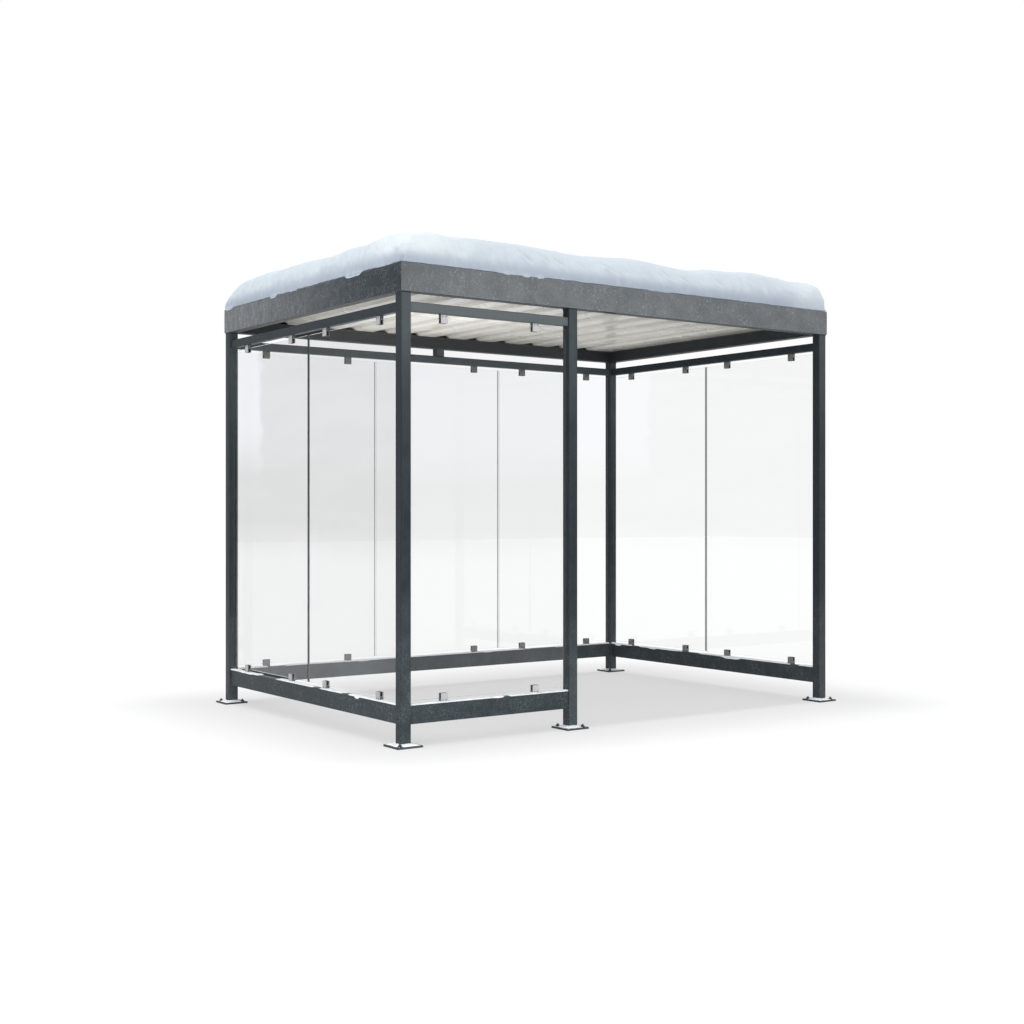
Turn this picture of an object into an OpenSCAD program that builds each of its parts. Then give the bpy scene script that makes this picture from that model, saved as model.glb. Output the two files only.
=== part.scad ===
// Smoking shelter: a bolted-down steel frame with a folded gutter fascia, a trapezoidal sheet
// roof under winter snow, and clamped glass on three sides and beside the entrance.
// The origin is on the ground at the centre of the plan. X runs along the front, Y to the rear.

/* [Overall] */
// Width over the fascia
shelter_w = 3200; // [2600:10:4200]
// Depth over the fascia
shelter_d = 2180; // [1700:10:3200]
// Height of the fascia's underside above the ground
eaves_h = 2360; // [2100:10:2900]

/* [Posts and plates] */
// Side of the square post tubes
post_w = 60; // [50:1:80]
// Wall of the post and rail tubes
tube_t = 3; // [2:0.5:5]
// Outer corner radius of the tubes
tube_r = 5; // [3:0.5:8]
// Set-back of the posts from the face of the fascia
post_inset = 5; // [0:1:30]
// Side of the square base plates
plate_w = 150; // [130:5:200]
// Thickness of the base plates
plate_t = 10; // [6:1:15]
// Distance of an anchor hole from both edges at its plate corner
anchor_inset = 25; // [18:1:30]
// Diameter of the anchor holes
anchor_d = 12; // [8:1:16]

/* [Rails] */
// Depth of the rails across the wall
rail_d = 40; // [30:1:50]
// Height of a top rail
top_rail_h = 50; // [40:1:80]
// Free gap between the top rails and the fascia
top_rail_gap = 50; // [20:1:120]
// Height of a bottom rail
bottom_rail_h = 100; // [60:1:140]
// Height of the bottom rails' underside above the ground
bottom_rail_z = 115; // [60:1:200]

/* [Glass] */
// Clear width of the glazed bay beside the entrance
glazed_bay_w = 1035; // [800:5:1300]
// Thickness of the glass
glass_t = 8; // [6:1:12]
// Gap between the glass and the rails
glass_rail_gap = 20; // [10:1:40]
// Gap between the glass and the posts
glass_post_gap = 5; // [3:1:15]
// Gap between two panes
pane_gap = 10; // [4:1:20]
// Corner radius of a pane
pane_r = 3; // [1:0.5:10]

/* [Glass clamps] */
// Width of a clamp along the wall
clamp_w = 44; // [30:1:60]
// Height of a clamp
clamp_h = 47; // [40:1:70]
// Depth of a clamp across the wall
clamp_d = 23; // [20:1:36]
// Distance between the two clamps on an edge of a pane
clamp_spacing = 600; // [300:10:700]
// Room for the gasket on each side of the glass
gasket_t = 1.5; // [1:0.5:3]
// Free room over the top edge of the glass
glass_top_play = 2; // [1:0.5:5]
// Edge radius of a clamp's face
clamp_r = 3; // [1:0.5:6]

/* [Fascia] */
// Height of the fascia
fascia_h = 150; // [120:5:220]
// Width of the gutter that the fascia is folded into
gutter_w = 65; // [60:1:100]
// Height of the gutter's inner upstand, on which the sheets lie
upstand_h = 80; // [50:1:110]
// Width of the flange on the upstand
seat_w = 20; // [10:1:40]
// Width of the return lip along the top edge
lip_w = 12; // [8:1:20]
// Thickness of the folded plate
fascia_t = 2.5; // [1.5:0.5:4]
// Radius of the folds at the middle of the plate
fold_r = 3.5; // [2.5:0.5:8]
// Length of the drain slot in the front gutter's floor
drain_l = 90; // [0:5:200]
// Width of the drain slot
drain_w = 22; // [10:1:30]
// Distance of the drain slot from the front of the fascia
drain_in = 20; // [18:1:40]
// Place of the drain slot, from the middle of the front
drain_x = -195; // [-900:5:900]

/* [Roof sheets] */
// Distance from rib to rib
rib_pitch = 250; // [180:1:320]
// Height of a rib
rib_h = 18; // [10:1:45]
// Width of a rib at its foot
rib_base = 118; // [60:1:150]
// Width of a rib's crown
rib_crown = 84; // [30:1:120]
// Thickness of the sheets
sheet_t = 1; // [0.6:0.1:2]
// Distance of the first rib from the left edge of the roof
first_rib = 75; // [60:1:200]
// How far the sheets reach over the gutter
sheet_overhang = 25; // [10:1:40]

/* [Snow] */
// Depth of the snow in the middle of the roof, over its edge
snow_h = 192; // [60:1:400]
// How much deeper the snow is at the right end than in the middle
snow_drift = 12; // [0:1:60]
// How much deeper the snow is at both ends than in the middle
snow_dish = 8; // [0:1:40]
// Width of the rounded shoulder round the mound
snow_shoulder = 160; // [60:5:400]
// How full the shoulder is
snow_power = 2.3; // [1.5:0.1:4]
// Height of the snow's upright edge over the fascia
snow_edge_h = 12; // [5:1:30]

/* [Hidden] */
SIDES = ["left", "rear", "right", "front"];
PLACES = ["front_left", "front_middle", "front_right", "rear_right", "rear_left"];
SHEETS = ["left", "middle", "right"];
PANES = [
    "left_front", "left_rear", "rear_left", "rear_middle", "rear_right", "right_rear", "right_front", "front"
];

steel = [0.24, 0.26, 0.28];
cream = [0.80, 0.79, 0.75];
stainless = [0.72, 0.72, 0.71];
clear = [0.85, 0.90, 0.90, 0.35];
white = [0.93, 0.95, 0.98];

clearance = 0.3;
arc_steps = 4;

post_x = shelter_w / 2 - post_inset - post_w / 2;
post_y = shelter_d / 2 - post_inset - post_w / 2;
middle_x = glazed_bay_w + post_w - post_x;

// Each post: x, y, and which diagonal of its plate carries the anchors
POST_AT = [
    [-post_x, -post_y, 1],
    [middle_x, -post_y, -1],
    [post_x, -post_y, -1],
    [post_x, post_y, 1],
    [-post_x, post_y, -1]
];

side_clear = 2 * post_y - post_w;
rear_clear = 2 * post_x - post_w;

// Each wall: x and y of its first post, its direction, its clear length between posts
WALL_AT = [
    [-post_x, -post_y, 90, side_clear],
    [-post_x, post_y, 0, rear_clear],
    [post_x, -post_y, 90, side_clear],
    [-post_x, -post_y, 0, glazed_bay_w]
];

// Each pane: its wall, its place along the wall, the panes in that wall
PANE_AT = [[0, 0, 2], [0, 1, 2], [1, 0, 3], [1, 1, 3], [1, 2, 3], [2, 1, 2], [2, 0, 2], [3, 0, 1]];

top_rail_z = eaves_h - top_rail_gap - top_rail_h;
glass_z = bottom_rail_z + bottom_rail_h + glass_rail_gap;
glass_h = top_rail_z - glass_rail_gap - glass_z;

// Each fascia run: x and y of its first corner, its direction, its length
FASCIA_AT = [
    [-shelter_w / 2, shelter_d / 2, 270, shelter_d],
    [shelter_w / 2, shelter_d / 2, 180, shelter_w],
    [shelter_w / 2, -shelter_d / 2, 90, shelter_d],
    [-shelter_w / 2, -shelter_d / 2, 0, shelter_w]
];

roof_half_w = shelter_w / 2 - gutter_w + sheet_overhang;
roof_half_d = shelter_d / 2 - gutter_w + sheet_overhang;
rib_count = floor((2 * roof_half_w - first_rib - rib_base / 2) / rib_pitch) + 1;
lap_clear = 4;

snow_seat_z = eaves_h + upstand_h + rib_h + 2 * sheet_t + clearance;
snow_rim_z = eaves_h + fascia_h + clearance;
snow_steps = [18, 12];
snow_turn = 15;

// ---- outlines ----

function unit(v) = v / norm(v);

function arc(centre, r, from, sweep) = [
    for (i = [0 : arc_steps])
        centre + r * [cos(from + sweep * i / arc_steps), sin(from + sweep * i / arc_steps)]
];

function rounded_rect(w, h, r) = concat(
    arc([w / 2 - r, h / 2 - r], r, 0, 90),
    arc([r - w / 2, h / 2 - r], r, 90, 90),
    arc([r - w / 2, r - h / 2], r, 180, 90),
    arc([w / 2 - r, r - h / 2], r, 270, 90)
);

// The corner b of the path a-b-c, rounded to radius r
function round_corner(a, b, c, r) =
    let (
        u = unit(a - b),
        v = unit(c - b),
        half = acos(u * v) / 2,
        centre = b + unit(u + v) * r / sin(half),
        start = b + u * r / tan(half) - centre,
        turn = sign(cross(b - a, c - b)) * (180 - 2 * half)
    )
    arc(centre, r, atan2(start.y, start.x), turn);

function round_path(path, r) =
    let (last = len(path) - 1)
    [
        path[0],
        for (i = [1 : last - 1]) each round_corner(path[i - 1], path[i], path[i + 1], r),
        path[last]
    ];

function left_of(a, b) = [a.y - b.y, b.x - a.x] / norm(b - a);

// Moves a path sideways by d, mitred at its corners
function side_path(path, d) =
    let (last = len(path) - 1)
    [
        for (i = [0 : last])
            let (
                before = left_of(path[max(i - 1, 0)], path[max(i, 1)]),
                after = left_of(path[min(i, last - 1)], path[min(i + 1, last)])
            )
            path[i] + d * (before + after) / (1 + before * after)
    ];

function reversed(list) = [for (i = [len(list) - 1 : -1 : 0]) list[i]];

// The section of sheet metal of thickness t, folded along a path
function folded(path, t) = concat(side_path(path, t / 2), reversed(side_path(path, -t / 2)));

// ---- posts, plates and rails ----

module tube(w, h, length) {
    linear_extrude(length)
        difference() {
            polygon(rounded_rect(w, h, tube_r));
            polygon(rounded_rect(w - 2 * tube_t, h - 2 * tube_t, max(tube_r - tube_t, 0.5)));
        }
}

module at_post(i) {
    translate([POST_AT[i].x, POST_AT[i].y, 0])
        children();
}

module base_plate(i) {
    reach = plate_w / 2 - anchor_inset;
    color(steel)
        at_post(i)
            difference() {
                linear_extrude(plate_t)
                    square(plate_w, center = true);
                for (s = [-1, 1])
                    translate([s * reach, s * reach * POST_AT[i].z, -1])
                        cylinder(h = plate_t + 2, d = anchor_d, $fn = 48);
            }
}

module post(i) {
    color(steel)
        at_post(i)
            translate([0, 0, plate_t])
                tube(post_w, post_w, eaves_h - plate_t);
}

// Works along a wall: x from the face of its first post, y across it, z up
module at_wall(i) {
    translate([WALL_AT[i][0], WALL_AT[i][1], 0])
        rotate(WALL_AT[i][2])
            translate([post_w / 2, 0, 0])
                children();
}

module rail(i, z, h) {
    color(steel)
        at_wall(i)
            translate([0, 0, z + h / 2])
                rotate([90, 0, 90])
                    tube(rail_d, h, WALL_AT[i][3]);
}

module rear_rail_hanger() {
    color(steel)
        translate([0, post_y, top_rail_z + top_rail_h])
            tube(post_w, post_w, top_rail_gap);
}

// ---- glass and clamps ----

function pane_width(clear, count) = (clear - 2 * glass_post_gap - (count - 1) * pane_gap) / count;

module at_pane(i) {
    pane = PANE_AT[i];
    width = pane_width(WALL_AT[pane[0]][3], pane[2]);
    at_wall(pane[0])
        translate([glass_post_gap + pane[1] * (width + pane_gap) + width / 2, 0, 0])
            children();
}

module glass(i) {
    pane = PANE_AT[i];
    width = pane_width(WALL_AT[pane[0]][3], pane[2]);
    color(clear)
        at_pane(i)
            translate([0, glass_t / 2, glass_z + glass_h / 2])
                rotate([90, 0, 0])
                    linear_extrude(glass_t)
                        polygon(rounded_rect(width, glass_h, pane_r));
}

// A clamp standing on its rail: a rounded block with a slot in which the glass stands
module clamp(slot_floor) {
    slot_w = glass_t + 2 * gasket_t;
    difference() {
        translate([0, clamp_d / 2, clamp_h / 2])
            rotate([90, 0, 0])
                linear_extrude(clamp_d)
                    polygon(rounded_rect(clamp_w, clamp_h, clamp_r));
        translate([-clamp_w, -slot_w / 2, slot_floor])
            cube([2 * clamp_w, slot_w, clamp_h]);
    }
}

module clamps(i) {
    color(stainless)
        at_pane(i)
            for (x = [-clamp_spacing / 2, clamp_spacing / 2]) {
                translate([x, 0, bottom_rail_z + bottom_rail_h])
                    clamp(glass_rail_gap);
                translate([x, 0, top_rail_z])
                    mirror([0, 0, 1])
                        clamp(glass_rail_gap - glass_top_play);
            }
}

// ---- fascia and roof ----

// Middle line of the fascia's plate: lip, web, gutter floor, upstand, seat for the sheets
function fascia_fold() =
    let (
        low = fascia_t / 2,
        high = fascia_h - fascia_t / 2,
        inner = gutter_w - fascia_t / 2,
        seat = upstand_h - fascia_t / 2
    )
    [[lip_w, high], [low, high], [low, low], [inner, low], [inner, seat], [gutter_w - seat_w, seat]];

module fascia(i) {
    length = FASCIA_AT[i][3];
    reach = gutter_w + clearance;
    color(steel)
        translate([FASCIA_AT[i][0], FASCIA_AT[i][1], eaves_h])
            rotate(FASCIA_AT[i][2])
                difference() {
                    intersection() {
                        rotate([90, 0, 90])
                            linear_extrude(length)
                                polygon(folded(round_path(fascia_fold(), fold_r), fascia_t));
                        translate([0, 0, -1])
                            linear_extrude(fascia_h + 2)
                                polygon([[0, 0], [length, 0], [length - reach, reach], [reach, reach]]);
                    }
                    if (SIDES[i] == "front" && drain_l > 0)
                        translate([length / 2 + drain_x, drain_in, -1])
                            linear_extrude(fascia_t + 2)
                                drain_slot();
                }
}

module drain_slot() {
    half = (drain_l - drain_w) / 2;
    union() {
        square([2 * half, drain_w], center = true);
        for (s = [-1, 1])
            translate([s * half, 0])
                circle(d = drain_w, $fn = 48);
    }
}

function rib_x(i) = first_rib - roof_half_w + i * rib_pitch;

function sheet_start(k) = floor(k * rib_count / len(SHEETS));

function rib_up(x) = [[x - rib_base / 2, 0], [x - rib_crown / 2, rib_h]];

function rib_down(x) = [[x + rib_crown / 2, rib_h], [x + rib_base / 2, 0]];

// Middle line of a sheet. It starts on the crown of its neighbour's last rib and ends under
// the crown of the next sheet's first one.
function sheet_fold(k) =
    let (
        from = sheet_start(k),
        to = sheet_start(k + 1),
        x_from = rib_x(from),
        x_to = rib_x(to),
        left_edge = k == 0
            ? concat([[-roof_half_w, 0]], rib_up(x_from), rib_down(x_from))
            : [
                [x_from - rib_crown / 2, rib_h + sheet_t],
                [x_from + rib_crown / 2, rib_h + sheet_t],
                [x_from + rib_base / 2, 0]
            ],
        right_edge = k == len(SHEETS) - 1
            ? [[roof_half_w, 0]]
            : concat(rib_up(x_to), [[x_to + rib_crown / 2 - lap_clear, rib_h]])
    )
    concat(
        left_edge,
        [for (i = [from + 1 : 1 : to - 1]) each concat(rib_up(rib_x(i)), rib_down(rib_x(i)))],
        right_edge
    );

module roof_sheet(k) {
    color(cream)
        translate([0, roof_half_d, eaves_h + upstand_h + sheet_t / 2])
            rotate([90, 0, 0])
                linear_extrude(2 * roof_half_d)
                    polygon(folded(sheet_fold(k), sheet_t));
}

// ---- snow ----

// Distances from the mound's middle, close together where its shoulders turn down
function places(half, steps) =
    let (flat = half - snow_shoulder)
    concat(
        [for (a = [90 : -snow_turn : snow_turn]) -flat - snow_shoulder * sin(a)],
        [for (i = [0 : steps]) flat * (2 * i / steps - 1)],
        [for (a = [snow_turn : snow_turn : 90]) flat + snow_shoulder * sin(a)]
    );

// From 0 at the mound's edge to 1 past its shoulder, at distance d from the edge
function shoulder(d) = sqrt(max(0, 1 - pow(1 - min(max(d, 0) / snow_shoulder, 1), snow_power)));

function snow_depth(x, y, half) =
    (snow_h + snow_drift * x / half.x + snow_dish * pow(x / half.x, 2))
        * shoulder(half.x - abs(x))
        * shoulder(half.y - abs(y));

// The mound's skin, then three rings under its rim: over the fascia, inside the fascia's lips,
// and the foot on the crowns of the ribs
module roof_snow() {
    half = [shelter_w / 2, shelter_d / 2];
    xs = places(half.x, snow_steps[0]);
    ys = places(half.y, snow_steps[1]);
    columns = len(xs) - 1;
    rows = len(ys) - 1;
    tray = half - [lip_w + 1, lip_w + 1];
    skin = [
        for (x = xs, y = ys)
            [x, y, snow_rim_z + snow_edge_h + snow_depth(x, y, half)]
    ];
    rim = concat(
        [for (i = [0 : columns - 1]) [i, 0]],
        [for (j = [0 : rows - 1]) [columns, j]],
        [for (i = [columns : -1 : 1]) [i, rows]],
        [for (j = [rows : -1 : 1]) [0, j]]
    );
    rings = [
        for (level = [[half, snow_rim_z], [tray, snow_rim_z], [tray, snow_seat_z]], p = rim)
            [xs[p.x] * level[0].x / half.x, ys[p.y] * level[0].y / half.y, level[1]]
    ];
    function ring_point(level, k) = level == 0
        ? rim[k % len(rim)].x * (rows + 1) + rim[k % len(rim)].y
        : len(skin) + (level - 1) * len(rim) + k % len(rim);
    faces = concat(
        [
            for (i = [0 : columns - 1], j = [0 : rows - 1])
                let (a = i * (rows + 1) + j, b = a + rows + 1)
                each [[a, a + 1, b + 1], [a, b + 1, b]]
        ],
        [
            for (level = [0 : 2], k = [0 : len(rim) - 1])
                let (a = ring_point(level, k), b = ring_point(level, k + 1), c = ring_point(level + 1, k + 1))
                each [[a, b, c], [a, c, ring_point(level + 1, k)]]
        ],
        [for (k = [0 : len(rim) - 1]) [ring_point(3, k), ring_point(3, k + 1), len(skin) + len(rings)]]
    );
    color(white)
        polyhedron(points = concat(skin, rings, [[0, 0, snow_seat_z]]), faces = faces, convexity = 4);
}

for (i = [0 : len(PLACES) - 1]) {
    base_plate(i);
    post(i);
}
for (i = [0 : len(SIDES) - 1]) {
    rail(i, bottom_rail_z, bottom_rail_h);
    rail(i, top_rail_z, top_rail_h);
    fascia(i);
}
for (i = [0 : len(PANES) - 1]) {
    glass(i);
    clamps(i);
}
for (k = [0 : len(SHEETS) - 1]) {
    roof_sheet(k);
}
rear_rail_hanger();
roof_snow();
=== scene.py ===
"""A smoking shelter in winter: steel frame, glass walls, sheet roof and the snow on it."""

import math

import bmesh
import bpy
from mathutils import Matrix, Vector, noise


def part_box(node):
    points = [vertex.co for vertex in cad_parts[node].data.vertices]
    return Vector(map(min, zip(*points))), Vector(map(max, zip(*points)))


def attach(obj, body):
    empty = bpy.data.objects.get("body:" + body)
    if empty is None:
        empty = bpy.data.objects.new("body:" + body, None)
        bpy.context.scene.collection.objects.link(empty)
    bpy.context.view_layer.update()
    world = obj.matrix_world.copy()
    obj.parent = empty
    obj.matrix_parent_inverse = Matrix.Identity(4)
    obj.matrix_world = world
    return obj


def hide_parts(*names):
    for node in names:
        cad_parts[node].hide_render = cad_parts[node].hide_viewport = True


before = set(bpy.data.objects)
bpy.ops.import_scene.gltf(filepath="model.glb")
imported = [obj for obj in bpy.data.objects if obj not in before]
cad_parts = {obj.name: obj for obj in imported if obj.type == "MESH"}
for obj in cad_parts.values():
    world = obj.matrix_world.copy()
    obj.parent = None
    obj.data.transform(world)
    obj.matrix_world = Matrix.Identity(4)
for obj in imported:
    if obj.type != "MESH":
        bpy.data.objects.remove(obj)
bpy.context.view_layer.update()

# Walls: the axis along the glass, the axis through it, and which way is outdoors
WALLS = {
    "left": (1, 0, -1),
    "rear": (0, 1, 1),
    "right": (1, 0, 1),
    "front": (0, 1, -1),
}
FASCIA_HALF_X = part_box("front_fascia")[1].x
FASCIA_HALF_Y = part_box("left_fascia")[1].y
SHEET_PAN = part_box("middle_roof_sheet")[0].z
RIB_PITCH = 0.250
RIB_START = 0.110
PANES = [name[: -len("_glass")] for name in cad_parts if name.endswith("_glass")]
POSTS = [name[: -len("_post")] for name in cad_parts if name.endswith("_post")]

# Glass, and the finishes of a pane in order
PANE_CORNER = 0.003
ARRIS = 0.0008
CLEAR, GREEN_EDGE, FAINT_EDGE, LIT_EDGE = range(4)

# Glass clamps, and their finishes in order
STAINLESS, RUBBER, ZINC, DULL_STEEL = range(4)
CLAMP_W = 0.044
CLAMP_H = 0.047
JAW_EDGE = 0.0012
GASKET_T = 0.0015
GASKET_IN = 0.0006
PACKER_IN = 0.0015
GLASS_SEAT = 0.001
SCREW_R = 0.0048
SCREW_SPREAD = 0.0105
SCREW_UP = 0.010
SCREW_PROUD = 0.0006

# Black bands at the post heads, standing in for the shadow line under the fascia
SHADOW_BAND_H = 0.006
SHADOW_BAND_PROUD = 0.0008
SHADOW_BAND_ROUND = 0.0012

# Anchor bolts
NUT_FLATS = 0.017
NUT_H = 0.008
WASHER_R = 0.012
WASHER_T = 0.002
STUD_R = 0.005
STUD_H = 0.014
ANCHOR_REACH = 0.050

# Roof snow: its mound, foot and grid
SNOW_DEPTH = 0.184
SNOW_SHOULDER = 0.149
SNOW_POWER = 2.14
SNOW_CORNER = 1.33
SNOW_SQUARE = 8.0
SNOW_ROUND = 0.21
SNOW_FOOT_ROUND = 0.026
SNOW_EDGE = 0.012
SNOW_INSET = 0.003
SNOW_HALF_X = FASCIA_HALF_X - SNOW_INSET
SNOW_HALF_Y = FASCIA_HALF_Y - SNOW_INSET
SNOW_TILT = (0.0104, -0.0011)
SNOW_DISH = (0.0071, -0.0054)
SNOW_STEPS = (380, 220)

# The right end, more upright and a little lower
END_SHOULDER = 0.080
END_POWER = 4.5
END_BACK = 0.013
END_DROP = 0.012

# The lip over the fascia, and the snow's underside
LIP_OUT = 0.0055
LIP_GAP = 0.0008
LIP_TURN_IN = 0.010
BED_GAP = 0.0004
BED_INSET = 0.03

# Thin snow on rails and base plates
RAIL_SNOW_T = 0.007
RAIL_SNOW_STEP = 0.005
RAIL_SNOW_TURN = 0.0022
PLATE_SNOW_T = 0.006
PLATE_BARE_EDGE = 0.010
PLATE_BARE_BOLT = 0.015
POST_HEAP_REACH = 0.055
POST_HEAP_H = 0.005


def wall_of(pane):
    """The wall that a pane is in."""
    return WALLS[pane.split("_")[0]]


# ---------------------------------------------------------------- mesh helpers


def round_over(bm, edges, offset, segments):
    """Bevels these edges."""
    bmesh.ops.bevel(
        bm,
        geom=list(edges),
        offset=offset,
        segments=segments,
        affect="EDGES",
        profile=0.5,
        material=-1,
    )


def sharp_block(bm, low, high):
    """Adds a block between two corners, and gives its faces."""
    place = Matrix.Translation((low + high) / 2) @ Matrix.Diagonal((*(high - low), 1))
    verts = bmesh.ops.create_cube(bm, size=1, matrix=place)["verts"]
    return {face for vert in verts for face in vert.link_faces}


def block(bm, low, high, edge, segments=2, finish=0):
    """Adds a block between two corners, with its edges rounded over."""
    faces = sharp_block(bm, low, high)
    for face in faces:
        face.material_index = finish
    round_over(bm, {rim for face in faces for rim in face.edges}, edge, segments)


def runs_along(edge, axis):
    """True if an edge is parallel to this axis."""
    way = edge.verts[0].co - edge.verts[1].co
    return abs(way[axis]) > 0.99 * way.length


def drum(bm, foot, radius, height, sides, edge, turn=0.0):
    """Adds an upright drum or nut, with its top edge eased."""
    place = Matrix.Translation(Vector(foot) + Vector((0, 0, height / 2)))
    verts = bmesh.ops.create_cone(
        bm,
        cap_ends=True,
        segments=sides,
        radius1=radius,
        radius2=radius,
        depth=height,
        matrix=place @ Matrix.Rotation(turn, 4, "Z"),
    )["verts"]
    faces = {face for vert in verts for face in vert.link_faces}
    top = foot[2] + height - 1e-5
    rim = {e for f in faces for e in f.edges if all(v.co.z > top for v in e.verts)}
    round_over(bm, rim, edge, 2)


def put_together(name, bm, finishes, replaced=(), crease=35):
    """Makes a finished piece that belongs to the shelter."""
    mesh = bpy.data.meshes.new(name)
    bmesh.ops.recalc_face_normals(bm, faces=bm.faces)
    bm.to_mesh(mesh)
    bm.free()
    for finish in finishes:
        mesh.materials.append(finish)
    mesh.shade_smooth()
    mesh.set_sharp_from_angle(angle=math.radians(crease))
    piece = bpy.data.objects.new(name, mesh)
    bpy.context.scene.collection.objects.link(piece)
    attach(piece, "root")
    if replaced:
        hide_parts(*replaced)
    return piece


def ripple(place, scale, seed=0.0):
    """Smooth chance between about -1 and 1."""
    return noise.noise(Vector(place) * scale + Vector((seed, seed * 0.7, -seed)))


def ease(value, low, high):
    """Goes smoothly from 0 at low to 1 at high."""
    share = min(max((value - low) / (high - low), 0.0), 1.0)
    return share * share * (3 - 2 * share)


# ------------------------------------------------------------ material helpers


def new_finish(name):
    """A material and its node tree, still empty."""
    finish = bpy.data.materials.new(name)
    finish.use_nodes = True
    finish.node_tree.nodes.clear()
    return finish, finish.node_tree


def add(tree, kind, sockets=None, **settings):
    """Adds a node, with its sockets set or linked by name or number."""
    made = tree.nodes.new("ShaderNode" + kind)
    for key, value in settings.items():
        setattr(made, key, value)
    for key, value in (sockets or {}).items():
        if isinstance(value, bpy.types.NodeSocket):
            tree.links.new(value, made.inputs[key])
        else:
            made.inputs[key].default_value = value
    return made


def work(kind, sockets, **settings):
    """Adds a node that works on a pattern, in the pattern's own tree."""
    tree = next(put.id_data for put in sockets.values() if isinstance(put, bpy.types.NodeSocket))
    return add(tree, kind, sockets, **settings)


def sums(operation, first, second=0.0, third=0.0, clamp=False):
    """One step of arithmetic."""
    sockets = {0: first, 1: second, 2: third}
    return work("Math", sockets, operation=operation, use_clamp=clamp).outputs[0]


def plus(first, second):
    """Two patterns added."""
    return sums("ADD", first, second)


def times(first, second, clamp=False):
    """Two patterns multiplied."""
    return sums("MULTIPLY", first, second, clamp=clamp)


def axes_of(place):
    """The three coordinates of a place or a direction."""
    return work("SeparateXYZ", {0: place}).outputs


def place_of(tree, stretch=(1, 1, 1)):
    """Object coordinates, squeezed along each axis by this much."""
    where = add(tree, "TexCoord").outputs["Object"]
    if stretch == (1, 1, 1):
        return where
    return work("Mapping", {"Vector": where, "Scale": stretch}).outputs[0]


def grain(where, scale, detail=3.0, rough=0.5, warp=0.0):
    """Cloudy noise at so many lumps a metre."""
    sockets = {0: where, "Scale": scale, "Detail": detail, "Roughness": rough, "Distortion": warp}
    return work("TexNoise", sockets).outputs["Fac"]


def between(value, low, high, out_low=0.0, out_high=1.0, smooth=True):
    """Stretches part of a pattern's range to another range."""
    sockets = {0: value, 1: low, 2: high, 3: out_low, 4: out_high}
    curve = "SMOOTHSTEP" if smooth else "LINEAR"
    return work("MapRange", sockets, interpolation_type=curve).outputs[0]


def veins(pattern, width, strength=1.0):
    """Thin winding lines where a pattern crosses its middle."""
    gap = sums("ABSOLUTE", sums("SUBTRACT", pattern, 0.5))
    return between(gap, 0.0, width, strength, 0.0)


def facing(tree, axis, way):
    """How squarely a surface faces one way along an axis, from 0 to 1."""
    return times(axes_of(add(tree, "NewGeometry").outputs["Normal"])[axis], way, clamp=True)


def upward(tree):
    """How far a surface faces the sky, from -1 to 1."""
    return axes_of(add(tree, "NewGeometry").outputs["Normal"])[2]


def tint(share, first, second, blend="MIX"):
    """Mixes two colours by a pattern."""
    sockets = {0: share}
    for key, colour in ((6, first), (7, second)):
        sockets[key] = colour if isinstance(colour, bpy.types.NodeSocket) else (*colour, 1)
    return work("Mix", sockets, data_type="RGBA", blend_type=blend).outputs[2]


def raised(height, depth, strength=1.0, under=None):
    """A bump of this depth in metres."""
    sockets = {"Height": height, "Distance": depth, "Strength": strength}
    if under is not None:
        sockets["Normal"] = under
    return work("Bump", sockets).outputs[0]


def opaque(finish, sockets):
    """Ends a material in one solid shader, and gives the material."""
    shader = add(finish.node_tree, "BsdfPrincipled", sockets)
    add(finish.node_tree, "OutputMaterial", {0: shader.outputs[0]})
    return finish


def blended(finish, share, first, second, output="OutputMaterial"):
    """Ends a material in two shaders, with this share of the second, and gives the material."""
    sockets = {0: share, 1: first.outputs[0], 2: second.outputs[0]}
    both = add(finish.node_tree, "MixShader", sockets)
    add(finish.node_tree, output, {0: both.outputs[0]})
    return finish


# ------------------------------------------------------------------- finishes


def anthracite_powder_coat(name, head, foot, foot_light, left_face_shade, mid_shade):
    """Satin anthracite coat with rime specks low down, painted light towards the head of faces to the
    front and towards the foot, and painted shade on faces to the left and at mid height.
    """
    finish, tree = new_finish(name)
    where = place_of(tree)
    up = axes_of(where)[2]
    streaks = grain(place_of(tree, (9, 9, 1.2)), 3.0, 4, 0.6)
    clouds = grain(where, 7.0, 5, 0.6)
    cloudy = between(clouds, 0.3, 0.7)
    shade = tint(cloudy, (0.024, 0.034, 0.040), (0.035, 0.047, 0.053))
    shade = tint(between(streaks, 0.45, 0.8, 0, 0.4), shade, (0.058, 0.071, 0.078))
    # Painted light: paler towards the head on faces to the front, and towards the foot.
    painted_light = times(between(up, 1.25, 2.36, 0.0, head), facing(tree, 1, -1.0))
    low = between(up, 0.10, 0.85, 1.0, 0.0)
    painted_light = plus(painted_light, times(low, foot_light))
    shade = tint(painted_light, shade, (0.34, 0.37, 0.38))
    # Painted shade: darker on faces to the left and at mid height.
    painted_shade = times(facing(tree, 0, -1.0), left_face_shade)
    middle = times(between(up, 0.5, 1.0), between(up, 2.2, 1.7))
    painted_shade = plus(painted_shade, times(middle, mid_shade))
    shade = tint(painted_shade, shade, (0.012, 0.018, 0.026))
    rime = times(rime_specks(where, clouds), between(up, 0.15, 0.9, foot, 0.06))
    shade = tint(rime, shade, (0.30, 0.33, 0.35))
    peel = grain(where, 700.0, 2, 0.5)
    sockets = {
        "Base Color": shade,
        "Roughness": between(clouds, 0.3, 0.7, 0.40, 0.52),
        "Specular IOR Level": 0.14,
        "Normal": raised(peel, 0.0002, 0.35),
    }
    return opaque(finish, sockets)


def rime_specks(where, clouds):
    """Specks of rime in drifts, with a few thin flowers of frost."""
    speck = grain(where, 95.0, 4, 0.7)
    flower = grain(where, 48.0, 4, 0.65, 1.2)
    specks = times(between(clouds, 0.40, 0.65), between(speck, 0.48, 0.70))
    return plus(specks, veins(flower, 0.022, 0.5))


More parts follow.
